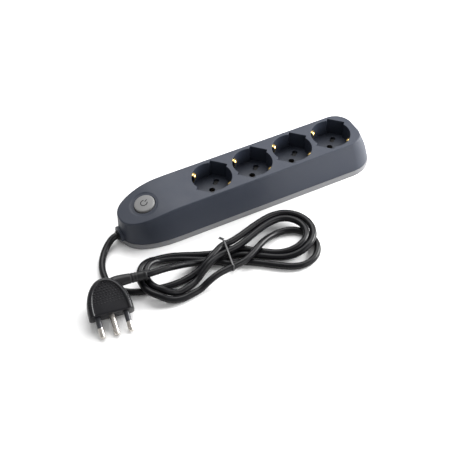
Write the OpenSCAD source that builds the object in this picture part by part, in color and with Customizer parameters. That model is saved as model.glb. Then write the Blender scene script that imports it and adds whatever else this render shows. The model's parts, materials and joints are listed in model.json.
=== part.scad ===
// Desk power strip: four round recessed sockets turned by 45 degrees, a standby switch on a sloping
// nose, and a mains lead wound into a tied figure-of-eight hank that ends in a flat three-pin plug.
// Units are millimetres. X runs along the strip with the nose and the lead at -X, and Z is up.
// The origin is the middle of the strip's underside.

/* [Housing] */
// Length of the strip without its lead
strip_length = 271; // [268:1:280]
// Width of the strip at its underside
base_width = 56.6; // [56:0.2:62]
// Width of the strip at its top edge
top_width = 48.4; // [47:0.2:50]
// Height of the flat top above the underside
strip_height = 40; // [40:0.5:44]
// Height of the joint between the dark shell and the pale tray
seam_z = 6; // [5:0.5:8]
// Thickness of the moulded walls
wall = 2.2; // [1.8:0.1:2.4]
// How far the socket end leans in from bottom to top
end_lean = 13.2; // [12:0.2:18]
// Fall of the nose for each millimetre of length
nose_fall = 0.25; // [0.2:0.01:0.28]

/* [Sockets] */
// Distance between neighbouring sockets
socket_pitch = 44; // [44:0.5:46]
// Diameter of a socket well
well_d = 39; // [38.5:0.5:40]
// Depth of a socket well
well_depth = 17.5; // [17:0.5:18]
// Width of the flat-sided notches of a well
notch_w = 17.6; // [17:0.1:18]
// Length of a well across its two notches
notch_span = 42; // [41:0.5:42.5]

/* [Switch] */
// Diameter of the push button
button_d = 20; // [18:0.5:21]
// Travel of the push button
button_travel = 3; // [2:0.5:3]

/* [Lead and plug] */
// Diameter of the lead's sheath
cord_d = 6.5; // [6:0.1:7]
// Width of the plug across its flat face
plug_w = 41; // [39:0.5:42]
// Length of the plug from its flat face to the top of its arch
plug_l = 35; // [34:0.5:36]
// Thickness of the plug
plug_t = 16; // [15:0.5:17]

/* [Hidden] */

half_length = strip_length / 2;

// Outline of the housing. t runs from 0 at the underside to 1 at the top.
end_corner_r = [27.5, 18];     // corner radius of the socket end, underside and top
nose_length = [54, 48];       // length of the rounded nose, underside and top
nose_power = 2.45;            // how square the nose is: 2 would be an ellipse
end_power = 1.65;             // how much the socket end bulges
end_steps = 8;
nose_steps = 14;
nose_bend_x = -93;            // where the nose would meet the flat top if the bend were sharp
nose_bend_r = 14;             // half the length over which the top bends down
bend_stations = [-60, -78];   // extra outline points along the straight sides
shell_step = 0.5;             // how far the shell stands in from the tray at the seam
edge_r = 0.9;                 // rounding of the top edge
edge_steps = 4;

// Sockets
socket_count = 4;
socket_turn = 45;             // turn of each socket about its own axis
socket_x0 = -37.5;
well_floor_z = strip_height - well_depth;
well_floor_t = 2;
well_wall = 1.8;
shell_lip = 0.8;              // what the shell leaves over the rim of a socket cup
cup_half_w = 21.9;
live_at = 9.5;                // distance of the narrow pin holes from the socket's centre
live_at_wide = 13;            // distance of the wide pin holes
narrow_hole_d = 4.6;
wide_hole_d = 5.4;
earth_hole_d = 5.6;
earth_hole_open = 6.2;        // clearance round the earth pin behind the socket floor
clip_w = 4.6;
clip_slot_w = 6.4;

// Screws through the tray, [x, y]
screw_places = [[-66, 16], [-66, -16], [28.5, 18], [28.5, -18], [121, 0]];
boss_r = 3.2;
boss_z0 = seam_z + 1.5;
pilot_r = 1.2;
pilot_top = 19;

// Contacts under the sockets
rail_y = (live_at + live_at_wide) / 2 * sin(socket_turn);
carrier_x = [-60, 117];
carrier_w = 27;
carrier_z = [4, 16];
rail_z = 6;
rail_t = 1;
jaw_top = 15.2;
strap_z = 16.2;
strap_t = 0.8;
shutter_z = 17.4;
shutter_t = 2.6;
shutter_travel = 6;
spring_seat_y = 17.5;         // rib under the well that the shutter's spring pushes against

// Switch, in its own frame: z = 0 is the surface of the nose
switch_x = -108.5;
switch_z = strip_height + nose_fall * (switch_x - nose_bend_x);
switch_lean = atan(nose_fall);
button_gap = 0.6;
button_proud = 1.2;
dish_d = 30;
switch_body_r = 12.6;
switch_drop = 3.3;            // the switch body starts this far under the surface of the nose
bridge_z = -15.7;             // underside of the moving contact, with the button up
bridge_gap = 0.2;             // what is left under it with the button down
contact_z = bridge_z - button_travel - bridge_gap;
contact_t = 0.6;
switch_floor = contact_z - contact_t - 1.5;

// Lead. The route's points are hand-chosen and lie on the cord's centreline.
cord_r = cord_d / 2;
cord_z = 8;                   // height of the lead's axis where it leaves the nose
outlet_r = 8;                 // radius of the moulded outlet
outlet_z = 8.3;               // height of its middle
outlet_x = -137.5;
lead_route = [
    [-139.5, 0, 8], [-143.5, -0.9, 7.5], [-148, -3.3, 6.5], [-154, -8.3, 5], [-160.3, -16, 3.8],
    [-165.5, -26, 3.3], [-168, -36, 3.3], [-168.5, -46, 3.3], [-165.5, -56, 3.3],
    [-159, -64, 3.3], [-150, -69.5, 3.3], [-145, -71.5, 3.3]
];
tail_route = [
    [-138, -67, 18.9], [-131, -67.5, 18.2], [-120, -66.5, 16], [-110, -65.2, 13]
];
tie_at = [-57, -70];          // middle of the hank, where the tie is
hank_h = 14;
hank_waist = 33;
tie_w = 2;
tie_t = 0.8;

wire_r = 0.9;                 // insulated inner wires
bush_r = 5.2;
bush_x = [-139.5, -119.5];
sheath_x = -78;
clamp_x = -83;
clamp_screw_r = 1.4;
clamp_screw_y = 7.2;

// Plug, in its own frame: x across the flat face, y from that face to the arch, z through it
plug_at = [-182, -89, 9.1];
plug_turn = [20, 0, -9];
plug_foot = 4;                // height of the straight-sided foot under the arch
pin_r = 2.5;
pin_l = 19;
pin_core_r = 2;               // radius inside the plug and under the sleeves
pin_core_l = 8;               // how far a pin reaches into the plug
pin_gap = 13;
sleeve_l = 10;
relief_at = [5, 30];          // inner end of the strain relief
relief_core_r = 5.4;          // its radius inside the plug

function mix(a, b, t) = a + (b - a) * t;

// Height of the top surface: flat over the sockets, then a smooth bend into the sloping nose
function top_z(x) =
    let (u = nose_bend_x - x)
    strip_height - nose_fall * (
        u < -nose_bend_r ? 0 :
        u > nose_bend_r ? u :
        pow(u + nose_bend_r, 2) / (4 * nose_bend_r)
    );

// Half of the outline at level t, pulled in by d: from the socket end along +Y to the nose tip
function half_outline(t, d) =
    let (
        hw = mix(base_width, top_width, t) / 2 - d,
        xe = half_length - end_lean * pow(t, end_power) - d,
        rc = mix(end_corner_r[0], end_corner_r[1], t) - d,
        nose = mix(nose_length[0], nose_length[1], t),
        xs = -half_length + nose,
        nl = nose - d
    )
    concat(
        [for (i = [0 : end_steps])
            let (a = 90 * i / end_steps)
            [xe - rc + rc * cos(a), hw - rc + rc * sin(a)]],
        [for (x = bend_stations) [x, hw]],
        [for (i = [0 : nose_steps - 1])
            let (a = 90 * i / nose_steps)
            [xs - nl * pow(sin(a), 2 / nose_power), hw * pow(cos(a), 2 / nose_power)]],
        [[xs - nl, 0]]
    );

// The whole outline, with the +Y half first
function outline(t, d) =
    let (h = half_outline(t, d), n = len(h))
    concat(h, [for (i = [n - 2 : -1 : 0]) [h[i][0], -h[i][1]]]);

// Triangles that join ring k to ring k + 1, for rings of n points
function ring_sides(n, rings) =
    [for (k = [0 : rings - 2], i = [0 : n - 1], side = [0, 1])
        let (j = (i + 1) % n)
        side == 0 ? [k * n + i, (k + 1) * n + i, k * n + j]
                  : [k * n + j, (k + 1) * n + i, (k + 1) * n + j]];

// Triangles across a ring of n points that is symmetrical about y = 0
function ring_cap(n, first, up) =
    [for (i = [0 : (n - 1) / 2 - 1], side = [0, 1])
        let (
            a = first + i,
            b = first + i + 1,
            c = first + n - 1 - i,
            e = first + n - 2 - i,
            f = side == 0 ? [a, b, c] : [b, e, c]
        )
        if (f[0] != f[1] && f[1] != f[2] && f[0] != f[2]) up ? [f[2], f[1], f[0]] : f];

module stacked(rings) {
    n = len(rings[0]);
    polyhedron(
        points = [for (r = rings) each r],
        faces = concat(
            ring_cap(n, 0, false),
            ring_sides(n, len(rings)),
            ring_cap(n, (len(rings) - 1) * n, true)
        )
    );
}

function level(z) = z / strip_height;

// A ring that follows the top surface, u of the way from height z0 to the top less drop
function wall_ring(z0, u, d, drop) =
    [for (p = outline(mix(level(z0), 1, u), d)) [p[0], p[1], mix(z0, top_z(p[0]) - drop, u)]];

// The solid shape of the shell from height z0 up, pulled in by d and lowered by drop at the top
module shell_form(z0, d, drop, rounding) {
    rings = concat(
        [for (u = [0, 0.25, 0.5, 0.75]) wall_ring(z0, u, d, drop)],
        [for (k = [0 : edge_steps])
            let (a = 90 * k / edge_steps, inset = d + rounding * (1 - cos(a)))
            [for (p = outline(1, inset)) [p[0], p[1], top_z(p[0]) - drop - rounding * (1 - sin(a))]]]
    );
    stacked(rings);
}

module each_socket() {
    for (i = [0 : socket_count - 1]) translate([socket_x0 + i * socket_pitch, 0, 0]) children();
}

module at_socket(i) {
    translate([socket_x0 + i * socket_pitch, 0, 0]) rotate([0, 0, socket_turn]) children();
}

// Plan of a socket well: a circle with a flat-sided notch at both ends of the pin axis
module well_plan(grow) {
    circle(d = well_d + 2 * grow, $fn = 72);
    square([notch_span + 2 * grow, notch_w + 2 * grow], center = true);
}

// Holes for two pins and the earth pin, each pin hole taking a narrow and a wide pin
module pin_holes(z0, h) {
    translate([0, 0, z0]) {
        cylinder(d = earth_hole_d, h = h, $fn = 36);
        for (s = [-1, 1]) {
            translate([s * live_at, 0, 0]) cylinder(d = narrow_hole_d, h = h, $fn = 32);
            translate([s * live_at_wide, 0, 0]) cylinder(d = wide_hole_d, h = h, $fn = 32);
        }
    }
}

// Openings in a well's side for the two earth clips
module clip_slots() {
    for (s = [-1, 1])
        translate([-clip_slot_w / 2, s * 20.5 - 2.75, well_floor_z + 1.2]) cube([clip_slot_w, 5.5, 14.5]);
}

module at_switch() {
    translate([switch_x, 0, switch_z]) rotate([0, -switch_lean, 0]) children();
}

module outlet_form(x0, x1, r) {
    translate([x0, 0, outlet_z]) rotate([0, 90, 0]) cylinder(r = r, h = x1 - x0, $fn = 48);
}

// Seat of the cord bush, half in the shell and half in the tray
module bush_seat() {
    translate([outlet_x - 1, 0, cord_z]) rotate([0, 90, 0])
        cylinder(r = bush_r + 0.05, h = bush_x[1] + 1 - (outlet_x - 1), $fn = 48);
}

module screw_axes() {
    for (p = screw_places) translate([p[0], p[1], 0]) children();
}

// Outside of a socket cup. It is cut flat where it would come through the housing's sides.
module cup_form(i) {
    intersection() {
        at_socket(i) translate([0, 0, well_floor_z - well_floor_t])
            linear_extrude(well_depth + well_floor_t - shell_lip) well_plan(well_wall);
        translate([-strip_length / 2, -cup_half_w, 0]) cube([strip_length, 2 * cup_half_w, strip_height]);
    }
}

// Socket cup with its pin holes, clip slots and the rib that the shutter's spring pushes against
module socket_cup(i) {
    color([0.29, 0.30, 0.34]) {
        difference() {
            cup_form(i);
            at_socket(i) {
                translate([0, 0, well_floor_z]) linear_extrude(well_depth + 1) well_plan(0);
                pin_holes(well_floor_z - well_floor_t - 1, well_floor_t + 2);
                clip_slots();
            }
        }
        at_socket(i) translate([-3.5, spring_seat_y, shutter_z])
            cube([7, 1.5, well_floor_z - well_floor_t - shutter_z + 0.1]);
    }
}

module socket_cup_1() { socket_cup(0); }
module socket_cup_2() { socket_cup(1); }
module socket_cup_3() { socket_cup(2); }
module socket_cup_4() { socket_cup(3); }

// Dark upper housing with openings for the sockets, screw pillars and half of the cord outlet
module top_shell() {
    color([0.29, 0.30, 0.34])
    difference() {
        union() {
            difference() {
                union() {
                    shell_form(seam_z, shell_step, 0, edge_r);
                    intersection() {
                        outlet_form(outlet_x, -125, outlet_r);
                        translate([-150, -20, seam_z]) cube([40, 40, 30]);
                    }
                }
                translate([0, 0, -0.01]) shell_form(seam_z, shell_step + wall, wall, 0.6);
            }
            intersection() {
                shell_form(seam_z, shell_step + 0.8, 0.8, 0.6);
                screw_axes() translate([0, 0, boss_z0]) cylinder(r = boss_r, h = 40, $fn = 32);
            }
        }
        for (i = [0 : socket_count - 1]) {
            cup_form(i);
            at_socket(i) translate([0, 0, well_floor_z]) linear_extrude(well_depth + 1) well_plan(0);
        }
        screw_axes() translate([0, 0, boss_z0 - 1]) cylinder(r = pilot_r, h = pilot_top - boss_z0, $fn = 24);
        at_switch() {
            translate([0, 0, -6]) cylinder(d = button_d + 2 * button_gap, h = 10, $fn = 72);
            translate([0, 0, -0.7]) cylinder(d1 = dish_d - 4, d2 = dish_d, h = 0.75, $fn = 72);
            translate([0, 0, 0.04]) cylinder(d = dish_d, h = 2, $fn = 72);
        }
        bush_seat();
    }
}

// Pale tray that closes the housing from below, with a raised lip that locates the shell
module base_tray() {
    color([0.62, 0.62, 0.62])
    difference() {
        union() {
            stacked([
                [for (p = outline(0, 1)) [p[0], p[1], 0]],
                [for (p = outline(level(1), 0)) [p[0], p[1], 1]],
                [for (p = outline(level(seam_z), 0)) [p[0], p[1], seam_z]]
            ]);
            stacked([
                [for (p = outline(level(4), 3.1)) [p[0], p[1], 4]],
                [for (p = outline(level(8.4), 3.1)) [p[0], p[1], 8.4]]
            ]);
            intersection() {
                outlet_form(outlet_x, -125, outlet_r);
                translate([-150, -20, 0.6]) cube([40, 40, seam_z - 0.6]);
            }
        }
        difference() {
            stacked([
                [for (p = outline(level(2), 4.5)) [p[0], p[1], wall]],
                [for (p = outline(level(9), 4.5)) [p[0], p[1], 9]]
            ]);
            screw_axes() cylinder(r = boss_r + 0.8, h = boss_z0, $fn = 32);
            for (x = [-50, 50.5, 107]) translate([x - 1, -12, 0]) cube([2, 24, carrier_z[0]]);
            clamp_screw_axes() cylinder(r = 2.8, h = 10.9, $fn = 32);
        }
        screw_axes() {
            translate([0, 0, -1]) cylinder(r = 1.75, h = boss_z0 + 2, $fn = 32);
            translate([0, 0, -1]) cylinder(r = 3.3, h = 3.6, $fn = 32);
            translate([0, 0, boss_z0]) cylinder(r = boss_r + 0.8, h = 3, $fn = 32);
        }
        clamp_screw_axes() translate([0, 0, 3.6]) cylinder(r = clamp_screw_r - 0.3, h = 10, $fn = 24);
        bush_seat();
    }
}

module clamp_screw_axes() {
    for (s = [-1, 1]) translate([clamp_x, s * clamp_screw_y, 0]) children();
}

// Self-tapping screws driven up through the tray into the shell's pillars
module housing_screws() {
    color([0.75, 0.75, 0.77])
    screw_axes()
        difference() {
            union() {
                translate([0, 0, 0.8]) cylinder(r = 2.9, h = 1.7, $fn = 36);
                translate([0, 0, 2]) cylinder(r = 1.5, h = boss_z0 - 2.5, $fn = 24);
                translate([0, 0, boss_z0 - 0.6]) cylinder(r = pilot_r - 0.02, h = 9, $fn = 24);
            }
            for (a = [0, 90]) rotate([0, 0, a]) translate([-1.6, -0.35, 0]) cube([3.2, 0.7, 1.6]);
        }
}

// Insulating bar under the sockets, with channels for the three rails and pockets for their jaws
module contact_carrier() {
    color([0.85, 0.84, 0.8])
    difference() {
        translate([carrier_x[0], -carrier_w / 2, carrier_z[0]])
            cube([carrier_x[1] - carrier_x[0], carrier_w, carrier_z[1] - carrier_z[0]]);
        for (y = [-rail_y, 0, rail_y])
            translate([carrier_x[0] - 1, y - 2.9, rail_z - 0.02])
                cube([carrier_x[1] - carrier_x[0] + 2, 5.8, 20]);
        each_socket() rotate([0, 0, socket_turn]) {
            translate([0, 0, rail_z]) cylinder(r = 3.9, h = 20, $fn = 32);
            for (s = [-1, 1]) translate([s * 11.5 - 5.4, -3.2, rail_z + rail_t - 0.2]) cube([10.8, 6.4, 20]);
        }
    }
}

// A rail with a pair of jaws beside every pin hole on side s of the sockets
module pin_rail(s) {
    translate([carrier_x[0] + 4, s * rail_y - 2.5, rail_z])
        cube([carrier_x[1] - carrier_x[0] - 8, 5, rail_t]);
    each_socket() rotate([0, 0, socket_turn])
        for (side = [-1, 1])
            translate([s * 11.5 - 4.6, side * 2.3 - 0.4, rail_z + rail_t - 0.1])
                cube([9.2, 0.8, jaw_top - rail_z - rail_t + 0.1]);
}

module live_rail() {
    color([0.80, 0.62, 0.30]) pin_rail(1);
}

module neutral_rail() {
    color([0.80, 0.62, 0.30]) pin_rail(-1);
}

// Earth rail with a slit tube under the middle hole of every socket
module earth_rail() {
    color([0.80, 0.62, 0.30]) {
        translate([carrier_x[0] + 4, -1.9, rail_z])
            cube([carrier_x[1] - carrier_x[0] - 8, 3.8, rail_t]);
        each_socket()
            difference() {
                translate([0, 0, rail_z + rail_t - 0.2])
                    cylinder(r = 3.6, h = strap_z - rail_z - rail_t + 0.2, $fn = 36);
                translate([0, 0, rail_z + rail_t]) cylinder(r = 2.85, h = 20, $fn = 36);
                translate([-0.4, -5, rail_z + rail_t + 1]) cube([0.8, 10, 20]);
            }
    }
}

// Plan of a bent strip of thickness t along the points p
function strip(p, t) =
    let (
        n = len(p),
        normal = [for (i = [0 : n - 1])
            let (v = p[min(i + 1, n - 1)] - p[max(i - 1, 0)])
            [-v[1], v[0]] / norm(v)]
    )
    concat(
        [for (i = [0 : n - 1]) p[i] + normal[i] * t / 2],
        [for (i = [n - 1 : -1 : 0]) p[i] - normal[i] * t / 2]
    );

// Earth clip of one socket: a strap under the floor and two arms that bulge into the well
module earth_clip(i) {
    arm = [
        [21.9, 16.6], [21.9, 22.5], [21.7, 24.2], [20.6, 25.7], [19.1, 27.6], [17.8, 30.2], [16.9, 32.8],
        [16.5, 34.4], [16.9, 35.9], [18.3, 36.9], [19.8, 37.4], [21, 37.5]
    ];
    color([0.82, 0.64, 0.32])
    at_socket(i) {
        difference() {
            translate([0, 0, strap_z]) {
                translate([-2.5, -22.3, 0]) cube([5, 44.6, strap_t]);
                cylinder(r = 4.6, h = strap_t, $fn = 36);
            }
            translate([0, 0, strap_z - 1]) cylinder(d = earth_hole_open, h = 3, $fn = 36);
        }
        for (s = [0, 1]) mirror([0, s, 0])
            rotate([90, 0, 90]) translate([0, 0, -clip_w / 2])
                linear_extrude(clip_w) polygon(strip(arm, strap_t));
    }
}

module earth_clip_1() { earth_clip(0); }
module earth_clip_2() { earth_clip(1); }
module earth_clip_3() { earth_clip(2); }
module earth_clip_4() { earth_clip(3); }

// Slide that covers the live and neutral holes until two pins push it aside together
module shutter(i) {
    color([0.2, 0.2, 0.22])
    at_socket(i) translate([0, 0, shutter_z])
        difference() {
            translate([-17.5, -12, 0]) cube([35, 18, shutter_t]);
            for (s = [-1, 1])
                translate([s * 11.4 - 5.6, -shutter_travel - 2.9, -1]) cube([11.2, 5.8, shutter_t + 2]);
            translate([-3.3, -shutter_travel - 3.3, -1]) cube([6.6, shutter_travel + 6.6, shutter_t + 2]);
        }
}

module shutter_1() { shutter(0); }
module shutter_2() { shutter(1); }
module shutter_3() { shutter(2); }
module shutter_4() { shutter(3); }

// Rings of a tube of radius r with n sides along the points p
function tube_ring(p, r, n, i) =
    let (
        last = len(p) - 1,
        v = p[min(i + 1, last)] - p[max(i - 1, 0)],
        t = v / norm(v),
        side = cross(t, abs(t[2]) > 0.9 ? [1, 0, 0] : [0, 0, 1]),
        u = side / norm(side),
        w = cross(t, u)
    )
    [for (k = [0 : n - 1]) p[i] + r * (cos(360 * k / n) * u + sin(360 * k / n) * w)];

module tube(p, r, n) {
    m = len(p);
    polyhedron(
        points = [for (i = [0 : m - 1]) each tube_ring(p, r, n, i)],
        faces = concat(
            [[for (k = [0 : n - 1]) k]],
            ring_sides(n, m),
            [[for (k = [n - 1 : -1 : 0]) (m - 1) * n + k]]
        )
    );
}

// Compression spring along +Z: height h, coil radius r, wire radius w
module coil_spring(h, r, w, turns) {
    steps = turns * 12;
    tube([for (i = [0 : steps]) [r * cos(30 * i), r * sin(30 * i), mix(w, h - w, i / steps)]], w, 6);
}

module shutter_spring(i) {
    color([0.7, 0.7, 0.72])
    at_socket(i) translate([0, 6, shutter_z + shutter_t / 2]) rotate([-90, 0, 0])
        coil_spring(spring_seat_y - 6, 0.95, 0.25, 6);
}

module shutter_spring_1() { shutter_spring(0); }
module shutter_spring_2() { shutter_spring(1); }
module shutter_spring_3() { shutter_spring(2); }
module shutter_spring_4() { shutter_spring(3); }

// Round body of the switch under the nose, with a well for the button and a contact chamber
module switch_housing() {
    color([0.15, 0.15, 0.16])
    at_switch() difference() {
        translate([0, 0, switch_floor])
            cylinder(r = switch_body_r, h = -switch_floor - switch_drop, $fn = 64);
        translate([0, 0, -12]) cylinder(r = button_d / 2 + button_gap, h = 20, $fn = 64);
        translate([0, 0, switch_floor + 1.5]) cylinder(r = 9.5, h = -14 - switch_floor - 1.5, $fn = 48);
        translate([0, 0, -15]) cylinder(r = 3.5, h = 4, $fn = 36);
        for (s = [-1, 1]) translate([-1.6, s * 5.5 - 0.5, switch_floor - 1]) cube([3.2, 1, 4]);
    }
}

// Push button: a hollow cap with a rounded rim
module switch_button() {
    r = button_d / 2;
    color([0.62, 0.62, 0.63])
    at_switch() rotate_extrude($fn = 72)
        polygon(concat(
            [[0, -1.2], [r - 1.6, -1.2], [r - 1.6, -8], [r, -8]],
            [for (a = [0 : 15 : 90]) [r - 1 + cos(a), button_proud - 1 + sin(a)]],
            [[0, button_proud + 0.2]]
        ));
}

module switch_plunger() {
    color([0.9, 0.9, 0.88])
    at_switch() {
        translate([0, 0, -2.2]) cylinder(r = 6.5, h = 1, $fn = 36);
        translate([0, 0, bridge_z + 0.8]) cylinder(r = 3, h = 13, $fn = 36);
    }
}

module contact_bridge() {
    color([0.82, 0.64, 0.32])
    at_switch() translate([-2, -7.5, bridge_z]) cube([4, 15, 0.8]);
}

module switch_spring() {
    color([0.7, 0.7, 0.72])
    at_switch() translate([0, 0, -12]) coil_spring(9.8, 4.6, 0.4, 5);
}

// Contact plate in the switch chamber with a solder leg through the floor, on side s
module switch_terminal(s) {
    color([0.82, 0.64, 0.32])
    at_switch() {
        translate([-2, s * 5.5 - 1.8, contact_z - contact_t]) cube([4, 3.6, contact_t]);
        translate([-1.4, s * 5.5 - 0.4, switch_floor - 2.2]) cube([2.8, 0.8, 4]);
    }
}

module supply_terminal() { switch_terminal(1); }
module load_terminal() { switch_terminal(-1); }

module supply_wire() {
    color([0.42, 0.25, 0.14])
    tube([[-78, 1.6, 9.2], [-74, 4, 9.8], [-73.5, 9, 10.2], [-78, 12, 10.4], [-85, 12.2, 10.6],
          [-93, 10, 11], [-99, 7.5, 11.6], [-102.8, 5.5, 12.2]], wire_r, 8);
}

module switched_wire() {
    color([0.42, 0.25, 0.14])
    tube([[-102.8, -5.5, 12.2], [-99, -7.5, 11.6], [-93, -10, 11], [-85, -12.2, 10.6], [-77, -12, 11],
          [-70, -7, 13], [-65.5, 1, 13.2], [-62, 6.5, 10.5], [-58, 7.9, 8.2], [-53, 7.95, 7.95]], wire_r, 8);
}

module neutral_wire() {
    color([0.15, 0.32, 0.62])
    tube([[-78, -1.8, 7.6], [-73, -3, 7.8], [-67, -6, 8], [-61, -7.8, 8], [-53, -7.95, 7.95]], wire_r, 8);
}

module earth_wire() {
    color([0.45, 0.55, 0.1])
    tube([[-78, 0.9, 6.6], [-73, 0.6, 7], [-67, 0.2, 7.6], [-61, 0, 7.95], [-53, 0, 7.95]], wire_r, 8);
}

// Sheathed end of the lead inside the nose
module inner_sheath() {
    color([0.07, 0.07, 0.08])
    translate([bush_x[0], 0, cord_z]) rotate([0, 90, 0])
        cylinder(r = cord_r, h = sheath_x - bush_x[0], $fn = 36);
}

// Bar that holds the sheath down, with a shallow arch over it
module cord_clamp() {
    color([0.85, 0.84, 0.8])
    difference() {
        translate([clamp_x - 3.5, -10, cord_z + 2.2]) cube([7, 20, 3.6]);
        translate([clamp_x - 5, 0, cord_z]) rotate([0, 90, 0]) cylinder(r = cord_r + 0.02, h = 10, $fn = 36);
        clamp_screw_axes() translate([0, 0, 5]) cylinder(r = clamp_screw_r + 0.15, h = 20, $fn = 24);
        for (s = [-1, 1]) translate([clamp_x - 4, s * 7.5 - 3.5, cord_z]) cube([8, 7, 3]);
    }
}

module clamp_screws() {
    color([0.75, 0.75, 0.77])
    clamp_screw_axes() difference() {
        union() {
            translate([0, 0, cord_z + 5.8]) cylinder(r = 2.7, h = 1.7, $fn = 36);
            translate([0, 0, cord_z + 2.95]) cylinder(r = clamp_screw_r, h = 3, $fn = 24);
            translate([0, 0, 4.2]) cylinder(r = clamp_screw_r - 0.32, h = 8, $fn = 24);
        }
        translate([-2, -0.4, cord_z + 6.6]) cube([4, 0.8, 2]);
    }
}

// Rubber bush that holds the lead in the outlet and tapers to its mouth
module cord_bush() {
    color([0.06, 0.06, 0.07])
    translate([bush_x[1], 0, cord_z]) rotate([0, -90, 0]) rotate_extrude($fn = 48)
        polygon([
            [cord_r + 0.02, 0], [bush_r, 0], [bush_r, 16], [4.6, 19],
            [4.1, bush_x[1] - bush_x[0]], [cord_r + 0.02, bush_x[1] - bush_x[0]]
        ]);
}

// Free stretch of the lead from the bush to the hank
module cord_lead() {
    color([0.06, 0.06, 0.07]) tube(lead_route, cord_r, 10);
}

// Free stretch of the lead from the hank to the plug
module cord_tail() {
    color([0.06, 0.06, 0.07]) tube(tail_route, cord_r, 10);
}

// Tied figure-of-eight hank as one closed solid of its outer shape, with a groove for the tie
module cord_hank() {
    color([0.06, 0.06, 0.07])
    difference() {
        linear_extrude(hank_h) {
            hull() {
                translate([-117, -69]) circle(r = 30, $fn = 48);
                translate([tie_at[0], tie_at[1]]) circle(d = hank_waist, $fn = 48);
            }
            hull() {
                translate([-3, -66]) circle(r = 25, $fn = 48);
                translate([-4, -86.5]) circle(r = 29, $fn = 48);
                translate([5, -74]) circle(r = 28.5, $fn = 48);
                translate([tie_at[0], tie_at[1]]) circle(d = hank_waist, $fn = 48);
            }
        }
        translate([tie_at[0] - tie_w / 2, tie_at[1] - 40, -1]) difference() {
            cube([tie_w, 80, hank_h + 2]);
            translate([-1, 40 - hank_waist / 2 + tie_t, 1 + tie_t])
                cube([tie_w + 2, hank_waist - 2 * tie_t, hank_h - 2 * tie_t]);
        }
    }
}

// Twist tie round the middle of the hank
module cord_tie() {
    color([0.08, 0.08, 0.08])
    translate([tie_at[0] - tie_w / 2, tie_at[1], 0]) difference() {
        translate([0, -hank_waist / 2, 0]) cube([tie_w, hank_waist, hank_h]);
        translate([-1, -hank_waist / 2 + tie_t, tie_t])
            cube([tie_w + 2, hank_waist - 2 * tie_t, hank_h - 2 * tie_t]);
    }
}

module at_plug() {
    translate(plug_at) rotate(plug_turn) children();
}

module at_relief() {
    translate([relief_at[0], relief_at[1], 0]) rotate([0, 91.2, 0]) children();
}

// Arch-shaped plug body: a half-oval top on a straight-sided foot
module plug_body() {
    r = plug_w / 2;
    color([0.07, 0.07, 0.08])
    at_plug() difference() {
        translate([0, 0, -plug_t / 2]) linear_extrude(plug_t) intersection() {
            union() {
                translate([0, plug_foot]) scale([1, (plug_l - plug_foot) / r]) circle(r = r, $fn = 96);
                translate([-r, 0]) square([plug_w, plug_foot]);
            }
            translate([-r - 1, 0]) square([plug_w + 2, plug_l + 2]);
        }
        for (x = [-pin_gap, 0, pin_gap])
            translate([x, -1, 0]) rotate([-90, 0, 0]) cylinder(r = pin_core_r, h = pin_core_l + 1, $fn = 36);
        at_relief() cylinder(r = relief_core_r + 0.02, h = 20, $fn = 40);
    }
}

// Tapered strain relief that leaves the side of the plug and ends in a collar
module plug_relief() {
    color([0.07, 0.07, 0.08])
    at_plug() at_relief() rotate_extrude($fn = 40)
        polygon([
            [0, 0], [relief_core_r, 0], [relief_core_r, 10], [5.9, 12], [5.6, 16.5], [5.2, 20.5],
            [4.6, 31.5], [4.6, 33], [4.9, 33.2], [4.9, 35], [0, 35]
        ]);
}

// A pin of the plug: a thin core, and the full radius from bare_from to the tip
module plug_pin(x, bare_from) {
    color([0.78, 0.78, 0.8])
    at_plug() translate([x, 0, 0]) rotate([90, 0, 0]) {
        translate([0, 0, -pin_core_l]) cylinder(r = pin_core_r, h = pin_core_l + pin_l - 5, $fn = 36);
        rotate_extrude($fn = 36)
            polygon([
                [0, bare_from], [pin_r, bare_from], [pin_r, pin_l - 0.8], [pin_r - 0.8, pin_l], [0, pin_l]
            ]);
    }
}

module live_pin() { plug_pin(pin_gap, sleeve_l); }
module neutral_pin() { plug_pin(-pin_gap, sleeve_l); }
module earth_pin() { plug_pin(0, 0); }

// Insulating sleeves on the outer pins
module pin_sleeves() {
    color([0.07, 0.07, 0.08])
    at_plug() for (x = [-pin_gap, pin_gap])
        translate([x, 0, 0]) rotate([90, 0, 0]) difference() {
            cylinder(r = pin_r, h = sleeve_l, $fn = 36);
            translate([0, 0, -1]) cylinder(r = pin_core_r + 0.02, h = sleeve_l + 2, $fn = 36);
        }
}

top_shell();
socket_cup_1();
socket_cup_2();
socket_cup_3();
socket_cup_4();
base_tray();
housing_screws();
contact_carrier();
live_rail();
neutral_rail();
earth_rail();
earth_clip_1();
earth_clip_2();
earth_clip_3();
earth_clip_4();
shutter_1();
shutter_2();
shutter_3();
shutter_4();
shutter_spring_1();
shutter_spring_2();
shutter_spring_3();
shutter_spring_4();
switch_housing();
switch_button();
switch_plunger();
contact_bridge();
switch_spring();
supply_terminal();
load_terminal();
supply_wire();
switched_wire();
neutral_wire();
earth_wire();
inner_sheath();
cord_clamp();
clamp_screws();
cord_bush();
cord_lead();
cord_hank();
cord_tail();
cord_tie();
plug_body();
plug_relief();
live_pin();
neutral_pin();
earth_pin();
pin_sleeves();
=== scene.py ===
"""Looks of the desk power strip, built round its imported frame.

Lengths are in millimetres in the row frame, and MM turns them into Blender's metres. The sizes below repeat
those of part.scad, and the rest comes from the frame's boxes, mounts and joints. X runs along the strip, the
nose and the lead are at -X, and Z is up.
"""
import json
import math

import bmesh
import bpy
from mathutils import Matrix, Vector


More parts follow.
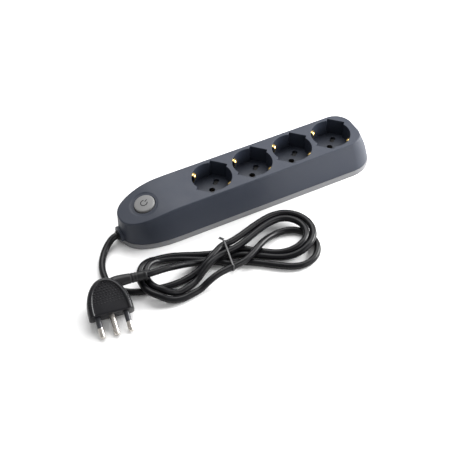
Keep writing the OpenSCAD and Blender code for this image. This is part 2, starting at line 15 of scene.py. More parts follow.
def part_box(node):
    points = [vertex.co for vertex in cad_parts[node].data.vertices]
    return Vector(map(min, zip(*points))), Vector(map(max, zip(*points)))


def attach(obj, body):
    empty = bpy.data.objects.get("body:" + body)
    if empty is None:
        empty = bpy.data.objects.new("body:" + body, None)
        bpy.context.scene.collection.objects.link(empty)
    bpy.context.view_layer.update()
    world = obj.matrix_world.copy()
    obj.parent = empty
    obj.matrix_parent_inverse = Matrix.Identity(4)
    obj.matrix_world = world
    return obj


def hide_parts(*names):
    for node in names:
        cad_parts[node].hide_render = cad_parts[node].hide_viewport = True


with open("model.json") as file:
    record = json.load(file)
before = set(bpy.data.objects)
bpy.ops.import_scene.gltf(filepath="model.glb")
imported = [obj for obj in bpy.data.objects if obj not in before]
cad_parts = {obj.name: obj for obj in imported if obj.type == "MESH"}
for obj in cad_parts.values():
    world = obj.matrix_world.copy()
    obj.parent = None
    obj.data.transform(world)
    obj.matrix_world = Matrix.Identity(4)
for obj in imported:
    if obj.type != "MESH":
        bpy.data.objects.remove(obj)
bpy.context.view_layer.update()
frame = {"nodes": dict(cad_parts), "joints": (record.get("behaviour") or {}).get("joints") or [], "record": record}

MM = 0.001
MOUNTS = {mount["name"]: mount for mount in frame["record"]["mounts"]}
JOINTS = {joint["name"]: joint for joint in frame["joints"]}


def box_mm(node):
    """Lowest and highest corner of a CAD node."""
    low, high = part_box(node)
    return low / MM, high / MM


def mount_mm(name):
    """Place of a mount."""
    return Vector(MOUNTS[name]["pos_m"]) / MM


# ---------------------------------------------------------------- sizes that part.scad also uses
SHELL_STEP = 0.5  # the shell stands in from the tray by this much
TRAY_CHAMFER = 1.0
WALL = 2.2
END_CORNER = (27.5, 18)  # corner radius of the socket end, underside and top
END_LEAN, END_POWER = 13.2, 1.65
NOSE_LENGTH = (54, 48)
NOSE_POWER = 2.45
NOSE_BEND_X, NOSE_BEND_R = -93, 14
EDGE_R = 0.9
WELL_R, WELL_NOTCH_X, WELL_NOTCH_Y, WELL_WALL = 19.5, 21.0, 8.8, 1.8
FLOOR_T = 2.0
PIN_HOLES = ((9.5, 2.3), (13.0, 2.7))  # distance from the socket's centre, radius
CLIP_SLOT = (6.4, 5.5, 14.5)
CLIP_SLOT_Y, CLIP_SLOT_RISE = 20.5, 1.2  # distance from the socket's middle, height over the well's floor
SOCKET_TURN = math.radians(45)
CORD_D = 6.5
PLUG_W, PLUG_L, PLUG_FOOT = 41.0, 35.0, 4.0
PIN_R, PIN_L, SLEEVE_L = 2.5, 19.0, 10.0
BUTTON_PROUD = 1.2

tray_low, tray_high = box_mm("base_tray")
shell_low, shell_high = box_mm("top_shell")
SEAM_Z, TOP_Z = shell_low.z, shell_high.z
HALF_LENGTH = tray_high.x
SIDE_SLOPE = (tray_high.y - shell_high.y - SHELL_STEP) / (SEAM_Z - TRAY_CHAMFER)
HALF_BASE = tray_high.y + SIDE_SLOPE * TRAY_CHAMFER
HALF_TOP = HALF_BASE - SIDE_SLOPE * TOP_Z
OUTLET_X = tray_low.x
BUSH = box_mm("cord_bush")
BUSH_R = BUSH[1].y
CORD_Z = (BUSH[0].z + BUSH[1].z) / 2
OUTLET_R, OUTLET_Z = 8.0, CORD_Z + 0.3
SOCKETS = [mount_mm(f"earth_hole_{i}") for i in (1, 2, 3, 4)]
WELL_FLOOR_Z = SOCKETS[0].z + FLOOR_T / 2
PRESS = Vector(JOINTS["switch_press"]["axis"])
NOSE_FALL = -PRESS.x / PRESS.z
button_low, button_high = box_mm("switch_button")
PIN_AXIS = Vector(MOUNTS["plug_earth_pin"]["axis"])
PLUG_SIDE = (mount_mm("plug_live_pin") - mount_mm("plug_neutral_pin")).normalized()
PIN_GAP = (mount_mm("plug_live_pin") - mount_mm("plug_neutral_pin")).length / 2
PLUG_FACE = mount_mm("plug_earth_pin") - PIN_AXIS * 9

# ---------------------------------------------------------------- camera and stage
CAMERA_AIM = Vector((-55.33, -67.53, 40))
CAMERA_TURN, CAMERA_RISE, CAMERA_ROLL = (math.radians(a) for a in (-26.56, 45.85, -1.0))
CAMERA_DISTANCE = 1026.8
CAMERA_LENS = 88.96


def add_camera():
    """The photograph's viewing angle: from above, over the near side of the strip's nose end."""
    forward = Vector((
        -math.sin(CAMERA_TURN) * math.cos(CAMERA_RISE),
        math.cos(CAMERA_TURN) * math.cos(CAMERA_RISE),
        -math.sin(CAMERA_RISE),
    ))
    level = Vector((math.cos(CAMERA_TURN), math.sin(CAMERA_TURN), 0))
    above = level.cross(forward)
    right = level * math.cos(CAMERA_ROLL) + above * math.sin(CAMERA_ROLL)
    up = above * math.cos(CAMERA_ROLL) - level * math.sin(CAMERA_ROLL)
    data = bpy.data.cameras.new("camera")
    data.lens = CAMERA_LENS
    data.sensor_width = 36
    data.clip_end = 20
    camera = bpy.data.objects.new("camera", data)
    bpy.context.scene.collection.objects.link(camera)
    turn = Matrix((right, up, -forward)).transposed().to_4x4()
    camera.matrix_world = Matrix.Translation((CAMERA_AIM - forward * CAMERA_DISTANCE) * MM) @ turn
    bpy.context.scene.camera = camera


def add_light(name, place, aim, size, power):
    """White rectangular light at place, turned towards aim."""
    data = bpy.data.lights.new(name, "AREA")
    data.shape = "RECTANGLE"
    data.size, data.size_y = size[0] * MM, size[1] * MM
    data.energy = power
    light = bpy.data.objects.new(name, data)
    bpy.context.scene.collection.objects.link(light)
    light.location = Vector(place) * MM
    light.rotation_euler = (Vector(aim) - Vector(place)).to_track_quat("-Z", "Y").to_euler()


def add_stage():
    """Even pale surroundings, three soft lights and a pale floor."""
    scene = bpy.context.scene
    scene.view_settings.view_transform = "Standard"
    world = bpy.data.worlds.new("studio")
    world.use_nodes = True
    world.node_tree.nodes["Background"].inputs["Color"].default_value = (1, 1, 1, 1)
    world.node_tree.nodes["Background"].inputs["Strength"].default_value = 0.46
    scene.world = world
    add_light("end_light", (640, -120, 300), (80, 0, 10), (420, 320), 10.0)
    add_light("top_light", (200, 420, 820), (10, -20, 0), (900, 700), 11.0)
    add_light("front_light", (420, -760, 380), (90, -40, 0), (420, 260), 2.4)
    floor_size = 6000
    floor = make_piece(
        "floor",
        [(x * floor_size, y * floor_size, 0) for x, y in ((-1, -1), (1, -1), (1, 1), (-1, 1))],
        [(0, 1, 2, 3)],
        plastic("floor_paint", (0.96, 0.96, 0.96), 0.85, grain=0, spots=0.01),
    )


# ---------------------------------------------------------------- materials
def node_material(name):
    """A new material, with its nodes, its links and its shader."""
    material = bpy.data.materials.new(name)
    material.use_nodes = True
    nodes = material.node_tree.nodes
    return material, nodes, material.node_tree.links, nodes["Principled BSDF"]


def object_noise(nodes, links, scale, detail):
    """Noise in the object's own coordinates. Scale is in cells per metre."""
    place = nodes.new("ShaderNodeTexCoord")
    noise = nodes.new("ShaderNodeTexNoise")
    noise.inputs["Scale"].default_value = scale
    noise.inputs["Detail"].default_value = detail
    links.new(place.outputs["Object"], noise.inputs["Vector"])
    return noise


def tint(nodes, links, noise, shader, colour, spread):
    """Base colour that drifts by the share spread round colour."""
    ramp = nodes.new("ShaderNodeValToRGB")
    ramp.color_ramp.elements[0].position = 0.3
    ramp.color_ramp.elements[1].position = 0.7
    for element, share in zip(ramp.color_ramp.elements, (1 - spread, 1 + spread)):
        element.color = (*[min(1, channel * share) for channel in colour], 1)
    links.new(noise.outputs["Fac"], ramp.inputs["Fac"])
    links.new(ramp.outputs["Color"], shader.inputs["Base Color"])


def vary_roughness(nodes, links, noise, shader, roughness, spread):
    """Roughness that drifts by spread round its middle value."""
    span = nodes.new("ShaderNodeMapRange")
    span.inputs["From Min"].default_value = 0.3
    span.inputs["From Max"].default_value = 0.7
    span.inputs["To Min"].default_value = max(0.02, roughness - spread)
    span.inputs["To Max"].default_value = min(1, roughness + spread)
    links.new(noise.outputs["Fac"], span.inputs["Value"])
    links.new(span.outputs["Result"], shader.inputs["Roughness"])


def bump(nodes, links, noise, shader, depth):
    """Surface relief of about depth millimetres."""
    node = nodes.new("ShaderNodeBump")
    node.inputs["Strength"].default_value = 1.0
    node.inputs["Distance"].default_value = depth * MM
    links.new(noise.outputs["Fac"], node.inputs["Height"])
    links.new(node.outputs["Normal"], shader.inputs["Normal"])


def plastic(name, colour, roughness, grain=0.05, grain_scale=2200, spots=0.06, specular=0.5):
    """Moulded plastic: a fine grain in the surface, and a slow drift of colour and gloss."""
    material, nodes, links, shader = node_material(name)
    shader.inputs["Specular IOR Level"].default_value = specular
    drift = object_noise(nodes, links, 70, 3)
    tint(nodes, links, drift, shader, colour, spots)
    vary_roughness(nodes, links, drift, shader, roughness, 0.04)
    if grain:
        bump(nodes, links, object_noise(nodes, links, grain_scale, 2), shader, grain)
    return material


def metal(name, colour, roughness, scale=900, spread=0.08, relief=0.01):
    """Plated or pressed metal with fine working marks."""
    material, nodes, links, shader = node_material(name)
    shader.inputs["Metallic"].default_value = 1.0
    marks = object_noise(nodes, links, scale, 3)
    tint(nodes, links, marks, shader, colour, spread)
    vary_roughness(nodes, links, marks, shader, roughness, 0.05)
    if relief:
        bump(nodes, links, marks, shader, relief)
    return material


# ---------------------------------------------------------------- mesh helpers
def make_piece(name, points, faces, material=None):
    mesh = bpy.data.meshes.new(name)
    mesh.from_pydata([Vector(point) * MM for point in points], [], faces)
    mesh.validate()
    mesh.update()
    if material:
        mesh.materials.append(material)
    piece = bpy.data.objects.new(name, mesh)
    bpy.context.scene.collection.objects.link(piece)
    return piece


def join_shapes(*shapes):
    """Several (points, faces) as one."""
    points, faces = [], []
    for more_points, more_faces in shapes:
        start = len(points)
        points += [Vector(p) for p in more_points]
        faces += [tuple(start + i for i in face) for face in more_faces]
    return points, faces


def placed(shape, matrix):
    return [matrix @ Vector(p) for p in shape[0]], shape[1]


def axes(origin, x, y, z):
    """Matrix that carries a shape's own x, y and z onto these directions at origin."""
    turn = Matrix((Vector(x), Vector(y), Vector(z))).transposed().to_4x4()
    return Matrix.Translation(Vector(origin)) @ turn


def fan_cap(n, first, up):
    ring = tuple(range(first, first + n))
    return [ring if up else ring[::-1]]


def strip_cap(n, first, up):
    """Strips from side to side across a ring that is symmetrical about y = 0."""
    faces = []
    for i in range((n - 1) // 2):
        a, b, c, d = first + i, first + i + 1, first + n - 2 - i, first + n - 1 - i
        face = (a, b, d) if b == c else (a, b, c, d)
        faces.append(face if up else face[::-1])
    return faces


def loft(rings, cap=fan_cap):
    """Closed solid through rings of equal count that run anticlockwise seen from the last one."""
    n = len(rings[0])
    points = [p for ring in rings for p in ring]
    faces = [
        (k * n + i, k * n + (i + 1) % n, (k + 1) * n + (i + 1) % n, (k + 1) * n + i)
        for k in range(len(rings) - 1)
        for i in range(n)
    ]
    return points, faces + cap(n, 0, False) + cap(n, (len(rings) - 1) * n, True)


def circle_ring(radius, z, sides):
    return [
        Vector((radius * math.cos(math.tau * i / sides), radius * math.sin(math.tau * i / sides), z))
        for i in range(sides)
    ]


def lathe(profile, sides=48):
    """Closed solid of revolution about z. The profile is (radius, height), from bottom to top."""
    points, rows, faces = [], [], []
    for radius, height in profile:
        if radius < 1e-6:
            rows.append([len(points)] * sides)
            points.append(Vector((0, 0, height)))
        else:
            rows.append(list(range(len(points), len(points) + sides)))
            points += circle_ring(radius, height, sides)
    for low, high in zip(rows, rows[1:]):
        for i in range(sides):
            j = (i + 1) % sides
            corners = [low[i], low[j], high[j], high[i]]
            face = tuple(dict.fromkeys(corners))
            if len(face) > 2:
                faces.append(face)
    return points, faces


def block(low, high):
    """Box between two corners, as a cutter or a plain strap."""
    (x0, y0, z0), (x1, y1, z1) = low, high
    rings = [[(x0, y0, z), (x1, y0, z), (x1, y1, z), (x0, y1, z)] for z in (z0, z1)]
    return loft(rings)


def arc(centre, radius, start, end, steps):
    """Points (x, y) along an arc, in degrees."""
    out = []
    for i in range(steps + 1):
        a = math.radians(start + (end - start) * i / steps)
        out.append((centre[0] + radius * math.cos(a), centre[1] + radius * math.sin(a)))
    return out


def smooth_line(points, steps):
    """A Catmull-Rom curve through the points, ends included."""
    points = [Vector(p) for p in points]
    padded = [2 * points[0] - points[1], *points, 2 * points[-1] - points[-2]]
    out = []
    for a, b, c, d in zip(padded, padded[1:], padded[2:], padded[3:]):
        for i in range(steps):
            t = i / steps
            out.append(
                0.5 * (
                    2 * b + (c - a) * t
                    + (2 * a - 5 * b + 4 * c - d) * t * t
                    + (3 * b - a - 3 * c + d) * t ** 3
                )
            )
    return out + [points[-1]]


def swept(line, section, closed=False, side=None):
    """Section of (across, up) points carried along a line, with across along side or level with the floor."""
    rings = []
    count = len(line)
    for i, point in enumerate(line):
        after = line[(i + 1) % count] if closed else line[min(i + 1, count - 1)]
        before = line[i - 1] if closed else line[max(i - 1, 0)]
        along = (after - before).normalized()
        across = Vector(side) if side else along.cross(Vector((0, 0, 1))).normalized()
        up = across.cross(along).normalized()
        shape = section(i / (count - 1)) if callable(section) else section
        rings.append([point + across * u + up * v for u, v in shape])
    if not closed:
        return loft(rings)
    n = len(rings[0])
    points = [p for ring in rings for p in ring]
    faces = [
        (k * n + i, k * n + (i + 1) % n, (k + 1) % count * n + (i + 1) % n, (k + 1) % count * n + i)
        for k in range(count)
        for i in range(n)
    ]
    return points, faces


def mesh_of(piece, settle):
    """Runs settle(bmesh) on the piece's mesh."""
    edit = bmesh.new()
    edit.from_mesh(piece.data)
    settle(edit)
    edit.to_mesh(piece.data)
    edit.free()
    piece.data.update()


def outward(piece):
    mesh_of(piece, lambda edit: bmesh.ops.recalc_face_normals(edit, faces=edit.faces))
    return piece


def cut(piece, shape, operation="DIFFERENCE"):
    """Boolean of the piece with a closed shape, applied at once."""
    tool = outward(make_piece("tool", *shape))
    modifier = piece.modifiers.new("cut", "BOOLEAN")
    modifier.object = tool
    modifier.operation = operation
    modifier.solver = "EXACT"
    result = bpy.data.meshes.new_from_object(piece.evaluated_get(bpy.context.evaluated_depsgraph_get()))
    piece.modifiers.clear()
    old = piece.data
    piece.data = result
    bpy.data.meshes.remove(old)
    tool_mesh = tool.data
    bpy.data.objects.remove(tool)
    bpy.data.meshes.remove(tool_mesh)
    return piece


def finish_surface(piece, sharp=32, weighted=True):
    """Smooth shading with edges over the sharp angle kept, and large faces deciding the normals."""

    def mark(edit):
        bmesh.ops.remove_doubles(edit, verts=edit.verts, dist=0.0005 * MM)
        bmesh.ops.recalc_face_normals(edit, faces=edit.faces)
        for face in edit.faces:
            face.smooth = True
        for edge in edit.edges:
            edge.smooth = len(edge.link_faces) == 2 and edge.calc_face_angle(0) < math.radians(sharp)

    mesh_of(piece, mark)
    if weighted:
        modifier = piece.modifiers.new("weighted_normals", "WEIGHTED_NORMAL")
        modifier.keep_sharp = True
    return piece


def settle(piece, material, slot, body="housing", stands_for=()):
    """Gives a finished piece its material and body, and hides the CAD nodes it stands for; slot is not used."""
    if material:
        piece.data.materials.clear()
        piece.data.materials.append(material)
    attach(piece, body)
    if stands_for:
        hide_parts(*stands_for)
    return piece


# ---------------------------------------------------------------- the lead's route
# The same points as in part.scad, then the wound turns, then the way to the plug.
LEAD_ROUTE = [
    (-139.5, 0, 8), (-143.5, -0.9, 7.5), (-148, -3.3, 6.5), (-154, -8.3, 5), (-160.3, -16, 3.8),
    (-165.5, -26, 3.3), (-168, -36, 3.3), (-168.5, -46, 3.3), (-165.5, -56, 3.3),
    (-159, -64, 3.3), (-150, -69.5, 3.3),
]
TO_TIE_ROUTE = [
    (-140, -73, 3.3), (-129, -75.5, 3.3), (-118, -77, 3.3), (-104, -76.8, 3.6), (-90, -75, 6),
    (-77, -70.5, 9.8), (-66, -64.5, 10.5),
]
FROM_TIE_ROUTE = [(-57, -80, 3.9), (-65, -73, 3.4), (-73, -68, 3.8), (-84, -64.5, 4.5), (-96, -64, 8)]
TAIL_ROUTE = [(-109, -65.2, 12.5), (-120, -66.5, 16), (-131, -67.5, 18.2), (-138, -67.2, 18.9)]
TIE_AT = Vector((-57, -70, 0))
TIE_LEAN = 0.22  # how far the tie runs along X for each millimetre of Y
LOW_Z, LAYER = 3.3, 6.5  # axis height of a strand on the floor, and the step up to one that lies on it


def blend_step(value, start, end):
    """0 up to start, 1 from end on, and a smooth step between them."""
    t = min(1, max(0, (value - start) / (end - start)))
    return t * t * (3 - 2 * t)


def lobe(side, reach, mid, half, slot_in, slot_out, lift):
    """One turn of the hank on side +1 or -1 of the tie: out along the far leg, round the fold and back.

    reach is how far the fold lies from the tie, half the fold's radius, mid its offset, slot_in and slot_out
    where the two legs pass the tie, and lift(turn) gives the height in layers for turn 0 to 180 degrees.
    """
    leg, fold = 6, 8
    line = []
    for i in range(leg):
        u = i / leg
        line.append((u * (reach - half), slot_in + (mid + half - slot_in) * blend_step(u, 0, 1)))
    for k in range(fold + 1):
        a = math.pi / 2 - math.pi * k / fold
        line.append((reach - half + half * math.cos(a), mid + half * math.sin(a)))
    for i in range(leg - 1, -1, -1):
        u = i / leg
        line.append((u * (reach - half), slot_out + (mid - half - slot_out) * blend_step(u, 0, 1)))
    out = []
    for i, (x, y) in enumerate(line):
        turn = math.degrees(math.asin(min(1, x / reach)))
        if i > len(line) // 2:
            turn = 180 - turn
        out.append(Vector((TIE_AT.x + side * x, TIE_AT.y + y, LOW_Z + LAYER * lift(turn))))
    return out[:-1]


def right_lift(turn):
    return 1 - blend_step(turn, 120, 155)


def left_lift(turn):
    return blend_step(turn, 40, 65) * (1 - blend_step(turn, 110, 135)) + blend_step(turn, 150, 166)


def last_lift(turn):
    return 1 - blend_step(turn, 18, 45)


def cord_points():
    """The lead's route: out of the strip, five turns of the hank, and on to the plug."""
    turns = (
        lobe(1, 86.5, -3, 26, 10, 0, right_lift)
        + lobe(-1, 80, 3, 21, 0, 1, left_lift)
        + lobe(1, 79.5, -3.5, 19.6, 1, 9, right_lift)
        + lobe(-1, 86.5, 1, 27, 9, -18, left_lift)
        + lobe(1, 83, -18, 23.5, -18, -10, last_lift)
    )
    first, last = LEAD_ROUTE + TO_TIE_ROUTE, FROM_TIE_ROUTE + TAIL_ROUTE
    return [Vector(p) for p in first] + turns + [Vector(p) for p in last]


def make_cord():
    """The lead as one open spline, and its length along the route."""
    points = cord_points()
    data = bpy.data.curves.new("mains_lead", "CURVE")
    data.dimensions = "3D"
    data.bevel_depth = CORD_D / 2 * MM
    data.bevel_resolution = 6
    data.resolution_u = 10
    data.use_fill_caps = True
    spline = data.splines.new("BEZIER")
    spline.bezier_points.add(len(points) - 1)
    for knot, point in zip(spline.bezier_points, points):
        knot.co = point * MM
        knot.handle_left_type = knot.handle_right_type = "AUTO"
    cord = bpy.data.objects.new("mains_lead", data)
    bpy.context.scene.collection.objects.link(cord)
    line = smooth_line(points, 6)
    length = sum((b - a).length for a, b in zip(line, line[1:]))
    return cord, length


# ---------------------------------------------------------------- housing
def top_z(x):
    """Height of the top: flat over the sockets, then a smooth bend into the sloping nose."""
    u = NOSE_BEND_X - x
    if u < -NOSE_BEND_R:
        return TOP_Z
    if u > NOSE_BEND_R:
        return TOP_Z - NOSE_FALL * u
    return TOP_Z - NOSE_FALL * (u + NOSE_BEND_R) ** 2 / (4 * NOSE_BEND_R)


def mix(a, b, t):
    return a + (b - a) * t


def outline(z, inset):
    """The housing's outline at height z, pulled in by inset: along +Y to the nose, back along -Y."""
    t = z / TOP_Z
    half_width = mix(HALF_BASE, HALF_TOP, t) - inset
    end_x = HALF_LENGTH - END_LEAN * t ** END_POWER - inset
    corner = mix(*END_CORNER, t) - inset
    nose = mix(*NOSE_LENGTH, t)
    nose_x = -HALF_LENGTH + nose
    nose -= inset
    half = arc((end_x - corner, half_width - corner), corner, 0, 90, 16)
    half += [(x, half_width) for x in (40, -10, -50, -66, -74, -79)]
    nose_steps = 44
    for i in range(nose_steps):
        a = math.pi / 2 * i / nose_steps
        half.append((
            nose_x - nose * math.sin(a) ** (2 / NOSE_POWER),
            half_width * math.cos(a) ** (2 / NOSE_POWER),
        ))
    half.append((nose_x - nose, 0))
    return half + [(x, -y) for x, y in half[-2::-1]]


def housing_form(z0, inset, drop, edge_r, wall_steps, edge_steps):
    """Closed solid of the housing from height z0 to its top, pulled in by inset and lowered by drop."""
    rings = []
    for k in range(wall_steps):
        u = k / wall_steps
        level = z0 + (TOP_Z - z0) * u
        rings.append([(x, y, mix(z0, top_z(x) - drop - edge_r, u)) for x, y in outline(level, inset)])
    for k in range(edge_steps + 1):
        a = math.pi / 2 * k / edge_steps
        pull = inset + edge_r * (1 - math.cos(a))
        fall = drop + edge_r * (1 - math.sin(a))
        rings.append([(x, y, top_z(x) - fall) for x, y in outline(TOP_Z - fall, pull)])
    rings.append([(x, y, top_z(x) - drop) for x, y in outline(TOP_Z - drop, inset + edge_r + 0.6)])
    return loft(rings, strip_cap)


def well_ring(grow, z):
    """Plan of a socket well: a circle with a flat-sided, round-cornered notch at both ends of its x axis."""
    radius, half_x, half_y = WELL_R + grow, WELL_NOTCH_X + grow, WELL_NOTCH_Y + grow
    fillet = 0.8
    start = math.degrees(math.asin(half_y / radius))
    half = arc((0, 0), radius, start, 180 - start, 36)
    half += arc((-half_x + fillet, half_y - fillet), fillet, 90, 180, 4)
    half += arc((-half_x + fillet, -half_y + fillet), fillet, 180, 270, 4)
    return [Vector((x, y, z)) for x, y in half + [(-x, -y) for x, y in half]]


def at_socket(centre):
    c, s = math.cos(SOCKET_TURN), math.sin(SOCKET_TURN)
    return axes((centre.x, centre.y, 0), (c, s, 0), (-s, c, 0), (0, 0, 1))


def hole(radius, top, bottom, lead_in):
    """Cutter for a hole with a rounded mouth."""
    return lathe([
        (0, bottom), (radius, bottom), (radius, top - lead_in),
        (radius + lead_in * 0.35, top - lead_in * 0.35), (radius + lead_in, top), (radius + lead_in, top + 1),
        (0, top + 1),
    ], 40)


def well_cutter():
    """Inside of a socket well, with a rounded rim."""
    rim = [(0, -0.9), (0.04, -0.45), (0.12, -0.2), (0.24, -0.07), (0.4, 0), (0.6, 0.5)]
    rings = [well_ring(0, WELL_FLOOR_Z)] + [well_ring(grow, TOP_Z + rise) for grow, rise in rim]
    return loft(rings)


def switch_place():
    """The middle of the button at the nose's surface, with z along the button's way out."""
    up = -PRESS
    middle = (button_low + button_high) / 2
    x = middle.x
    for _ in range(8):  # the point of the surface under the button's axis
        offset = (Vector((x, 0, TOP_Z - NOSE_FALL * (NOSE_BEND_X - x))) - middle)
        x -= offset.dot(Vector((up.z, 0, -up.x)))
    return axes((x, 0, TOP_Z - NOSE_FALL * (NOSE_BEND_X - x)), (up.z, 0, -up.x), (0, 1, 0), up)


def outlet_form(half):
    """The moulded lip round the lead's way out: half is 'top' for the shell's part, 'low' for the tray's."""
    lip = lathe([
        (0, OUTLET_X), (OUTLET_R - 0.9, OUTLET_X),
        (OUTLET_R - 0.3, OUTLET_X + 0.25), (OUTLET_R, OUTLET_X + 0.9),
        (OUTLET_R, -124), (0, -124),
    ], 48)
    piece = outward(make_piece("lip", *placed(lip, axes((0, 0, OUTLET_Z), (0, 1, 0), (0, 0, 1), (1, 0, 0)))))
    low, high = (SEAM_Z, 60) if half == "top" else (0.6, SEAM_Z)
    cut(piece, block((-160, -30, low), (-100, 30, high)), "INTERSECT")
    shape = [v.co / MM for v in piece.data.vertices], [tuple(p.vertices) for p in piece.data.polygons]
    bpy.data.objects.remove(piece)
    return shape


def bush_seat():
    """Cutter for the seat of the cord bush."""
    seat = lathe([(0, OUTLET_X - 2), (BUSH_R + 0.05, OUTLET_X - 2), (BUSH_R + 0.05, -119), (0, -119)], 48)
    return placed(seat, axes((0, 0, CORD_Z), (0, 1, 0), (0, 0, 1), (1, 0, 0)))


def make_shell(material):
    """Dark cover: walls, socket wells with their pin holes and clip slots, switch dish and cord outlet."""
    shell = outward(make_piece("cover", *housing_form(SEAM_Z, SHELL_STEP, 0, EDGE_R, 10, 5)))
    cut(shell, outlet_form("top"), "UNION")
    cut(shell, housing_form(SEAM_Z - 0.5, SHELL_STEP + WALL, WALL, 0.6, 6, 2))
    for centre in SOCKETS:
        place = at_socket(centre)
        cup = loft([well_ring(WELL_WALL, WELL_FLOOR_Z - FLOOR_T), well_ring(WELL_WALL, TOP_Z - 1)])
        cut(shell, placed(cup, place), "UNION")
    for centre in SOCKETS:
        place = at_socket(centre)
        cut(shell, placed(well_cutter(), place))
        bottom = WELL_FLOOR_Z - FLOOR_T - 1
        cut(shell, placed(hole(MOUNTS["earth_hole_1"]["dims"]["r_mm"], WELL_FLOOR_Z, bottom, 0.35), place))
        for side in (-1, 1):
            for distance, radius in PIN_HOLES:
                spot = Matrix.Translation((side * distance, 0, 0))
                tool = placed(hole(radius, WELL_FLOOR_Z, bottom, 0.35), spot)
                cut(shell, placed(tool, place))
            w, d, h = CLIP_SLOT
            y, z = side * CLIP_SLOT_Y, WELL_FLOOR_Z + CLIP_SLOT_RISE
            cut(shell, placed(block((-w / 2, y - d / 2, z), (w / 2, y + d / 2, z + h)), place))
    dish = lathe([
        (0, -7), (10.6, -7), (10.6, -0.95), (10.75, -0.78), (11.1, -0.7), (12.6, -0.7), (13.1, -0.66),
        (13.6, -0.5), (14.3, -0.2), (14.8, -0.05), (15.3, 0.02), (15.3, 1.5), (0, 1.5),
    ], 96)
    cut(shell, placed(dish, switch_place()))
    cut(shell, bush_seat())
    finish_surface(shell)
    cups = [f"socket_cup_{i}" for i in (1, 2, 3, 4)]
    return settle(shell, material, "shell_plastic", stands_for=["top_shell", *cups])


def make_tray(material):
    """Pale tray with an eased lower edge, screw recesses in its underside and the outlet's lower half."""
    ease = [(1.0, 0.0), (0.5, 0.12), (0.2, 0.45), (0.0, 1.0)]
    rings = [[(x, y, z) for x, y in outline(z, inset)] for inset, z in ease]
    walls = ((0, 3.5), (0, SEAM_Z - 0.3), (0.1, SEAM_Z - 0.08))
    rings += [[(x, y, z) for x, y in outline(z, inset)] for inset, z in walls]
    rings.append([(x, y, SEAM_Z) for x, y in outline(SEAM_Z, 0.3)])
    tray = outward(make_piece("tray", *loft(rings, strip_cap)))
    lip = [[(x, y, z) for x, y in outline(z, 3.1)] for z in (4, 8.4)]
    cut(tray, loft(lip, strip_cap), "UNION")
    cut(tray, outlet_form("low"), "UNION")
    cut(tray, bush_seat())
    hollow = [[(x, y, z) for x, y in outline(z, 4.5)] for z in (WALL, 9)]
    cut(tray, loft(hollow, strip_cap))
    for middle in SCREWS:
        recess = lathe([(0, -1), (3.5, -1), (3.3, 0.25), (3.3, 2.6), (1.75, 2.6), (1.75, 9), (0, 9)], 40)
        cut(tray, placed(recess, Matrix.Translation(middle)))
    finish_surface(tray)
    return settle(tray, material, "tray_plastic", stands_for=["base_tray"])


def screw_middles():
    """The middles of the housing screws, found from the separate solids of their node."""
    low, _ = box_mm("housing_screws")
    heads = []
    for vertex in frame["nodes"]["housing_screws"].data.vertices:
        point = vertex.co / MM
        if point.z > low.z + 2:
            continue
        for head in heads:
            if (head[0] - point.to_2d()).length < 7:
                head.append(point.to_2d())
                break
        else:
            heads.append([point.to_2d()])
    middles = []
    for head in heads:
        xs = [p.x for p in head]
        ys = [p.y for p in head]
        middles.append(Vector(((min(xs) + max(xs)) / 2, (min(ys) + max(ys)) / 2, 0)))
    return middles


SCREWS = screw_middles()


# ---------------------------------------------------------------- sockets and switch
CLIP_ARM = [
    (21.9, 16.6), (21.9, 22.5), (21.7, 24.2), (20.6, 25.7), (19.1, 27.6), (17.8, 30.2), (16.9, 32.8),
    (16.5, 34.4), (16.9, 35.9), (18.3, 36.9), (19.8, 37.4), (21, 37.5),
]


def eased_section(half_w, half_t, ease):
    """Rectangle with cut corners, as (across, up) points."""
    corners = [(half_w, half_t), (-half_w, half_t), (-half_w, -half_t), (half_w, -half_t)]
    out = []
    for x, y in corners:
        step_x, step_y = math.copysign(ease, x), math.copysign(ease, y)
        pair = [(x, y - step_y), (x - step_x, y)]
        out += pair if x * y > 0 else pair[::-1]
    return out


def make_clip(index, centre, material):
    """Pressed brass clip: a strap under the socket floor and two sprung arms that bulge through the slots."""
    strap_z = box_mm(f"earth_clip_{index}")[0].z
    section = eased_section(2.3, 0.4, 0.16)
    shapes = []
    for side in (-1, 1):
        line = smooth_line([(0, side * y, z) for y, z in CLIP_ARM], 5)
        shapes.append(swept(line, section, side=(side, 0, 0)))
    shapes.append(block((-2.5, -22.3, strap_z), (2.5, 22.3, strap_z + 0.8)))
    shapes = [placed(shape, at_socket(centre)) for shape in shapes]
    clip = outward(make_piece(f"earth_clip_piece_{index}", *join_shapes(*shapes)))
    finish_surface(clip, sharp=50, weighted=False)
    return settle(clip, material, "brass", stands_for=[f"earth_clip_{index}"])


